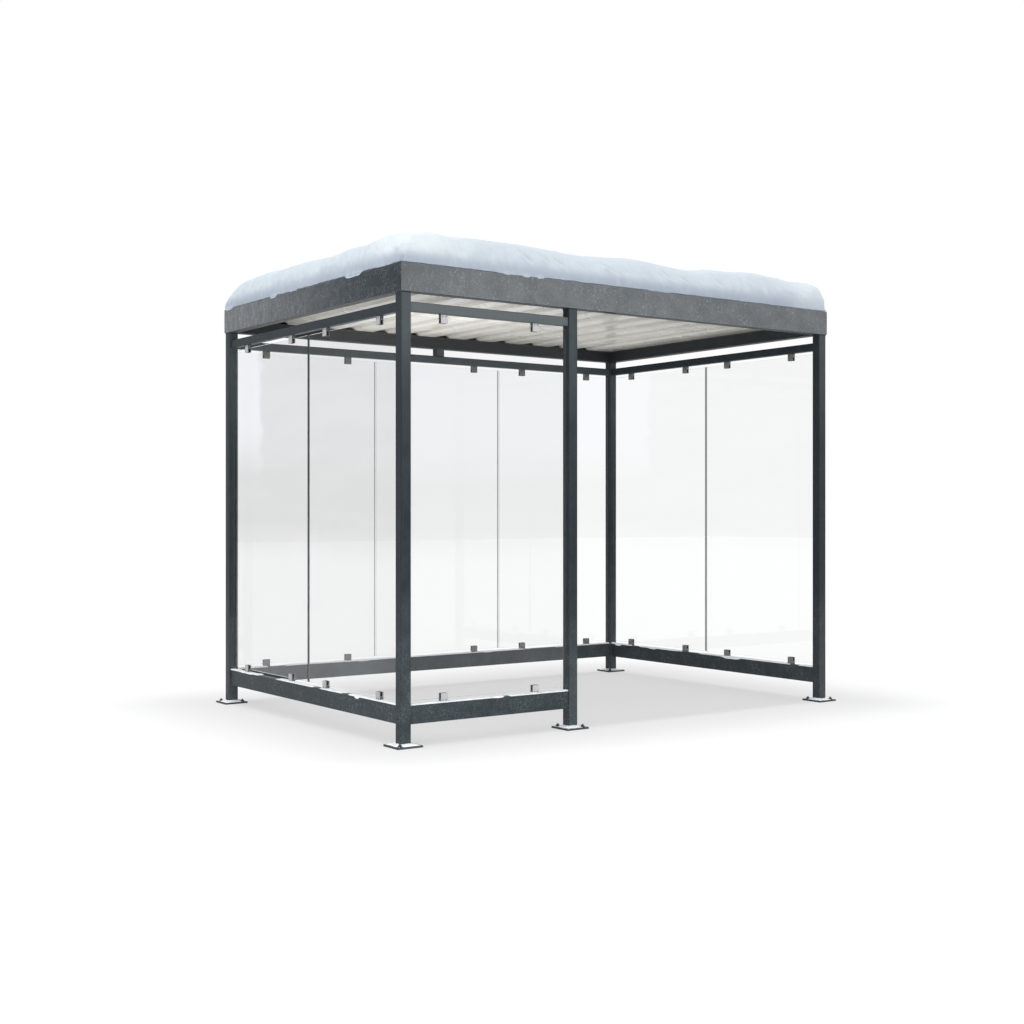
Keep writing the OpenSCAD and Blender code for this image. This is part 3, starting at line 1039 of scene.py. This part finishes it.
def drift(bm, level):
    """Gives the smooth snow its hollows, lumps, folds and runnels."""
    flow = bm.verts.layers.float_vector.new("flow")
    fold = bm.verts.layers.float.new("fold")
    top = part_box("roof_snow")[1].z - 0.002
    for vert in bm.verts:
        x, y, z = vert.co
        inward = min(SNOW_HALF_X - abs(x), SNOW_HALF_Y - abs(y))
        hold = ease(inward, 0.0, 0.02)
        place = flow_place(vert.co, level + SNOW_EDGE + SNOW_DEPTH)
        vert[flow] = place
        run = Vector((place.x, place.y, place.z * 0.32))
        steep = 1 - ease(vert.normal.z, 0.45, 0.97)
        broad = 0.0035 * ripple((x, y, 0), 1.7, 3.0) + 0.0025 * ripple((x, y, z), 4.5, 8.0)
        small = 0.0018 * ripple((x, y, z), 14, 5.0) + 0.0008 * ripple((x, y, z), 38, 1.0)
        folds = 0.0090 * (abs(ripple(run, 5.5, 9.0)) - 0.3)
        runs = 0.0030 * ripple(run, 21, 2.0) + 0.0014 * ripple(run, 47, 4.0)
        rise = broad + small + steep * (folds + runs) - 0.002
        vert.co = vert.co + vert.normal * hold * rise
        if y < SNOW_SHOULDER - SNOW_HALF_Y:
            push = crease(x, place.z)
            vert[fold] = -push / 0.005
            vert.co = vert.co + vert.normal * hold * push
        vert.co.z = min(max(vert.co.z + hump(x, y), level + SNOW_EDGE), top)


def round_corner(at):
    """Draws a point at the front left corner in to the round foot of the snow."""
    centre = Vector((SNOW_FOOT_ROUND - SNOW_HALF_X, SNOW_FOOT_ROUND - SNOW_HALF_Y, at.z))
    away = at - centre
    if away.x < 0 and away.y < 0 and away.length > SNOW_FOOT_ROUND:
        return centre + away.normalized() * SNOW_FOOT_ROUND
    return at


def open_edge(bm):
    """The edges at the border of a sheet."""
    return [edge for edge in bm.edges if edge.is_boundary]


def hem(bm, rim, move):
    """Draws out a new row from an open edge and moves it."""
    made = bmesh.ops.extrude_edge_only(bm, edges=rim)["geom"]
    for vert in [item for item in made if isinstance(item, bmesh.types.BMVert)]:
        vert.co = move(vert.co.copy())
    return [item for item in made if isinstance(item, bmesh.types.BMEdge) and item.is_boundary]


def lip(at, top):
    """The lowest line of the snow, which hangs out a little where it has slumped."""
    side, place = side_of(at.x, at.y)
    down = slump(side, place)
    out = LIP_OUT * ease(down, 0.0, 0.008)
    at = Vector((at.x, at.y, top - down))
    if max(at.x + SNOW_HALF_X, at.y + SNOW_HALF_Y) < SNOW_FOOT_ROUND:
        return at
    if abs(at.x) > SNOW_HALF_X - LIP_TURN_IN:
        at.x = math.copysign(SNOW_HALF_X + (out if side in ("left", "right") else 0), at.x)
    if abs(at.y) > SNOW_HALF_Y - LIP_TURN_IN:
        at.y = math.copysign(SNOW_HALF_Y + (out if side in ("front", "rear") else 0), at.y)
    return at


def tuck(at, top):
    """The underside of the lip, back to the fascia's face or in over its top."""
    return pull_in(at, LIP_GAP if at.z < top else -LIP_TURN_IN)


def pull_in(at, out):
    """Brings a point to no more than this far outside the fascia."""
    x = math.copysign(min(abs(at.x), FASCIA_HALF_X + out), at.x)
    y = math.copysign(min(abs(at.y), FASCIA_HALF_Y + out), at.y)
    return Vector((x, y, at.z))


def thin_film(name, bm, move, finish):
    """Turns the edge of thin snow under, closes it and makes it a piece."""
    rim = hem(bm, open_edge(bm), move)
    bmesh.ops.holes_fill(bm, edges=rim, sides=0)
    put_together(name, bm, [finish], crease=70)


# Where thin snow spills over a bottom rail: middle, half length, and how far down
SPILLS = {
    "left": ((-0.60, 0.030, 0.010), (0.80, 0.10, 0.003)),
    "front": ((-0.98, 0.05, 0.002),),
    "right": ((0.94, 0.05, 0.010), (0.55, 0.04, 0.006), (-0.28, 0.11, 0.010)),
    "rear": ((-0.62, 0.06, 0.004), (0.40, 0.05, 0.003)),
}

# Where the thin snow on a rail has gaps: middle and half length
GAPS = {
    "left": ((0.51, 0.15), (-0.12, 0.05), (-0.47, 0.05)),
    "front": ((-0.915, 0.028),),
    "right": ((-0.85, 0.06), (0.15, 0.10), (0.75, 0.05)),
    "rear": ((-1.25, 0.08), (0.90, 0.15)),
}


def rail_snow(wall, finish):
    """Thin snow along the top of one bottom rail, slipping over its edges here and there."""
    low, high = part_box(wall + "_bottom_rail")
    along, through, outside = WALLS[wall]
    length, width = high[along] - low[along], high[through] - low[through]
    middle = (low[through] + high[through]) / 2
    bm = bmesh.new()
    bmesh.ops.create_grid(bm, x_segments=int(length / RAIL_SNOW_STEP), y_segments=12, size=0.5)
    for vert in bm.verts:
        run = low[along] + (vert.co.x + 0.5) * length
        across = vert.co.y * 2
        depth, out, down = snow_film(wall, run, across, outside)
        spot = Vector((0, 0, high.z + depth))
        spot[along] = run
        spot[through] = middle + across * (width / 2 + out)
        if abs(across) > 0.99:
            spot.z = high.z - down
        vert.co = spot

    def draw_in(at):
        at[through] = middle + (at[through] - middle) * 0.9
        at.z = min(high.z - RAIL_SNOW_TURN, at.z)
        return at

    thin_film(wall + "_rail_snow", bm, draw_in, finish)


def snow_film(wall, run, across, outside):
    """Depth of the thin snow, and how far it slips out and down at the rail's edge."""
    seed = 3.0 + 7.0 * list(WALLS).index(wall)
    broad = ripple((run, seed, 0), 2.1, seed)
    fine = ripple((run, across * 0.03, seed), 24, seed)
    cover = 1.0
    for middle, half in GAPS[wall]:
        near = abs(run - middle) / half
        cover = min(cover, ease(near + 0.5 * fine, 0.7, 1.15))
    crown = math.sqrt(max(1 - abs(across) ** 2.6, 0.0))
    depth = -0.0016 + cover * (0.0014 + RAIL_SNOW_T * crown * (0.85 + 0.5 * fine + 0.3 * broad))
    down = 0.0012 + 0.0014 * fine
    drip_side = 1 if wall in ("right", "rear") else -1
    if across * outside * drip_side < 0:
        for middle, half, drop in SPILLS[wall]:
            near = abs(run - middle) / half
            if near < 1:
                down += drop * ease(1 - near + 0.3 * fine, 0, 0.6)
    out = 0.0026 * cover if cover > 0.05 else -0.002
    return depth, out, max(down, 0.0008) if cover > 0.05 else 0.0016


def plate_snow(post, finish):
    """A thin pad of snow on one base plate, melted back round the bolts."""
    low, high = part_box(post + "_base_plate")
    middle, half = (low + high) / 2, (high.x - low.x) / 2
    bolts = bolt_places(post, middle)
    bm = bmesh.new()
    bmesh.ops.create_grid(bm, x_segments=60, y_segments=60, size=1)
    for vert in bm.verts:
        x, y = middle.x + vert.co.x * half * 0.97, middle.y + vert.co.y * half * 0.97
        out = max(abs(x - middle.x), abs(y - middle.y))
        margin = half - out - PLATE_BARE_EDGE - 0.007 * ripple((x, y, 0), 38, 2.0)
        clear = min(math.hypot(x - bx, y - by) for bx, by in bolts) - PLATE_BARE_BOLT
        clear -= 0.004 * ripple((x, y, 1), 60, 5.0)
        cover = ease(min(margin, clear), -0.004, 0.012)
        bump = 0.75 + 0.45 * ripple((x, y, 0), 24, 7.0) + 0.2 * ripple((x, y, 0), 70, 1.0)
        heap = ease(POST_HEAP_REACH - out, 0, 0.03) * POST_HEAP_H
        vert.co = (x, y, high.z - 0.0012 + cover * (0.0016 + PLATE_SNOW_T * bump + heap))
    under = high.z - 0.002
    thin_film(post + "_plate_snow", bm, lambda at: Vector((at.x, at.y, under)), finish)


# -------------------------------------------------------------------- setting


def seen(tree):
    """1 for what the camera, gloss and glass see, and 0 for what only lights."""
    path = add(tree, "LightPath")
    ray = sums("MAXIMUM", path.outputs["Is Camera Ray"], path.outputs["Is Glossy Ray"])
    return sums("MAXIMUM", ray, path.outputs["Is Transmission Ray"])


def overcast_sky(level):
    """An overcast sky, a little brighter overhead and to the front left, that shows white."""
    world = bpy.data.worlds.new("overcast_sky")
    bpy.context.scene.world = world
    world.use_nodes = True
    tree = world.node_tree
    tree.nodes.clear()
    way = axes_of(add(tree, "TexCoord").outputs["Generated"])
    diagonal = plus(way[0], way[1])
    round_about = between(diagonal, 1.4, -1.4, level * 0.70, level * 1.10)
    even = times(round_about, between(way[2], 0.0, 1.0, 0.85, 1.30, False))
    dull = add(tree, "Background", {0: (0.98, 0.99, 1.0, 1), 1: even})
    white = add(tree, "Background", {0: (1, 1, 1, 1), 1: 1.0})
    blended(world, seen(tree), dull, white, "OutputWorld")


def pale_floor(lift, share):
    """A wide pale floor that keeps the soft shade of the lights, with a painted shadow darkening it
    under and near the shelter.
    """
    finish, tree = new_finish("pale_floor")
    axes = axes_of(place_of(tree))
    # Painted shadow: darker under the shelter and fading out within a metre round it.
    away = 0.0
    for axis, half in ((0, FASCIA_HALF_X), (1, FASCIA_HALF_Y)):
        out_by = sums("SUBTRACT", sums("ABSOLUTE", axes[axis]), half)
        out_by = sums("MAXIMUM", out_by, 0.0)
        away = sums("MULTIPLY_ADD", out_by, out_by, away)
    painted_floor_shadow = between(sums("SQRT", away), 0.0, 1.0, 0.83, 1.0)
    pale = tint(painted_floor_shadow, (0.0, 0.0, 0.0), (0.80, 0.80, 0.80))
    matt = add(tree, "BsdfDiffuse", {"Color": pale})
    glow = add(tree, "Emission", {"Color": (1, 1, 1, 1), "Strength": times(painted_floor_shadow, lift)})
    blended(finish, times(seen(tree), share), matt, glow)
    bm = bmesh.new()
    bmesh.ops.create_grid(bm, x_segments=1, y_segments=1, size=45)
    mesh = bpy.data.meshes.new("floor")
    bm.to_mesh(mesh)
    bm.free()
    mesh.materials.append(finish)
    floor = bpy.data.objects.new("floor", mesh)
    bpy.context.scene.collection.objects.link(floor)


def hang(light, place, target):
    """Puts a light at a place, pointed at another."""
    lamp = bpy.data.objects.new(light.name, light)
    lamp.location = place
    aim = Vector(target) - Vector(place)
    lamp.rotation_euler = aim.to_track_quat("-Z", "Y").to_euler()
    bpy.context.scene.collection.objects.link(lamp)
    return lamp


def sun(name, lean, strength, width):
    """A veiled sun or a bright cloud, overhead or leaning over one side."""
    light = bpy.data.lights.new(name, "SUN")
    light.energy = strength
    light.angle = math.radians(width)
    hang(light, (lean[0] * 6, lean[1] * 6, 6), (0, 0, 0))


def soft_lamp(name, place, target, size, power, spread=180):
    """A large soft lamp pointed at a place."""
    light = bpy.data.lights.new(name, "AREA")
    light.shape = "RECTANGLE"
    light.size, light.size_y = size
    light.energy = power
    light.spread = math.radians(spread)
    lamp = hang(light, place, target)
    lamp.visible_camera = False
    lamp.visible_glossy = False
    lamp.visible_transmission = False


def camera():
    """Eye level, from the front left corner."""
    lens = bpy.data.cameras.new("eye_level")
    lens.lens = 50.13
    lens.sensor_width = 36
    lens.clip_end = 200
    view = bpy.data.objects.new("eye_level", lens)
    view.location = (-5.4016, -7.3983, 1.2174)
    view.rotation_euler = (math.radians(90), 0, -0.6201)
    bpy.context.scene.collection.objects.link(view)
    bpy.context.scene.camera = view


# ------------------------------------------------------------------- assembly

# The three coats are one coat with its painted light and shade set differently: the top rail's copy
# is paler at its head and less dark on its left faces, and the corner copy is paler at its head and
# darker at mid height and on its left faces.
coat = anthracite_powder_coat("anthracite_powder_coat", 0.11, 0.35, 0.11, 0.62, 0.18)
lit_rail_coat = anthracite_powder_coat("lit_rail_powder_coat", 0.33, 0.35, 0.07, 0.45, 0.18)
corner_coat = anthracite_powder_coat("corner_post_coat", 0.17, 0.35, 0.03, 0.70, 0.38)
fascia_coat = frosted_fascia_coat()
sheet_coat = cream_roof_sheet()
stainless = satin_stainless()
dull_steel = grainy_metal("dull_cast_steel", 180.0, (0.15,) * 3, (0.23,) * 3, 0.7, 0.55)
rubber = black_rubber()
zinc = grainy_metal("dark_zinc", 220.0, (0.035, 0.037, 0.040), (0.085, 0.088, 0.092), 0.6, 0.6)
glass = clear_glass()
glass_edge = polished_glass_edge("polished_glass_edge", (0.020, 0.032, 0.030), (0.050, 0.070, 0.066))
# The pale edge is a painted highlight.
pale_edge = polished_glass_edge("lit_glass_edge", (0.50, 0.55, 0.54), (0.65, 0.70, 0.69))
faint_edge = faint_glass_edge()
snow = drifted_snow()
thin_snow = fresh_snow()

CAD_FINISHES = {
    "_base_plate": coat,
    "_post": coat,
    "_rail": coat,
    "_hanger": coat,
    "_fascia": fascia_coat,
    "_roof_sheet": sheet_coat,
}
# These parts take the lit and shaded copies of the coat.
CAD_FINISHES_OF = {
    "front_top_rail": lit_rail_coat,
    "front_bottom_rail": corner_coat,
    "front_left_post": corner_coat,
}
for name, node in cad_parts.items():
    for ending, finish in CAD_FINISHES.items():
        if name.endswith(ending):
            node.data.materials.clear()
            node.data.materials.append(CAD_FINISHES_OF.get(name, finish))

for pane in PANES:
    glass_pane(pane, [glass, glass_edge, faint_edge, pale_edge])
    clamp_set(pane, [stainless, rubber, zinc, dull_steel])
for post in POSTS:
    # A black band at each post head stands in for the shadow under the fascia.
    head_shadow_band(post, rubber)
    anchor_bolts(post, [zinc])
    plate_snow(post, thin_snow)
for wall in WALLS:
    rail_snow(wall, thin_snow)
roof_snow(snow)

overcast_sky(0.60)
pale_floor(1.20, 0.50)
sun("veiled_sun", (0, 0), 1.0, 3.0)
sun("bright_cloud", (-0.70, -0.15), 0.68, 70.0)
soft_lamp("low_softbox", (-2.8, -3.6, 0.25), (-0.6, -0.5, 2.4), (3, 1.2), 31)
soft_lamp("ground_bounce", (-0.75, 0.40, 0.12), (-0.65, 0.44, 2.4), (1.2, 0.9), 7.0, 80)
soft_lamp("corner_softbox", (-2.5, -2.3, 0.3), (-1.1, -0.9, 2.4), (1.4, 0.8), 11)
camera()
bpy.context.scene.view_settings.view_transform = "Standard"
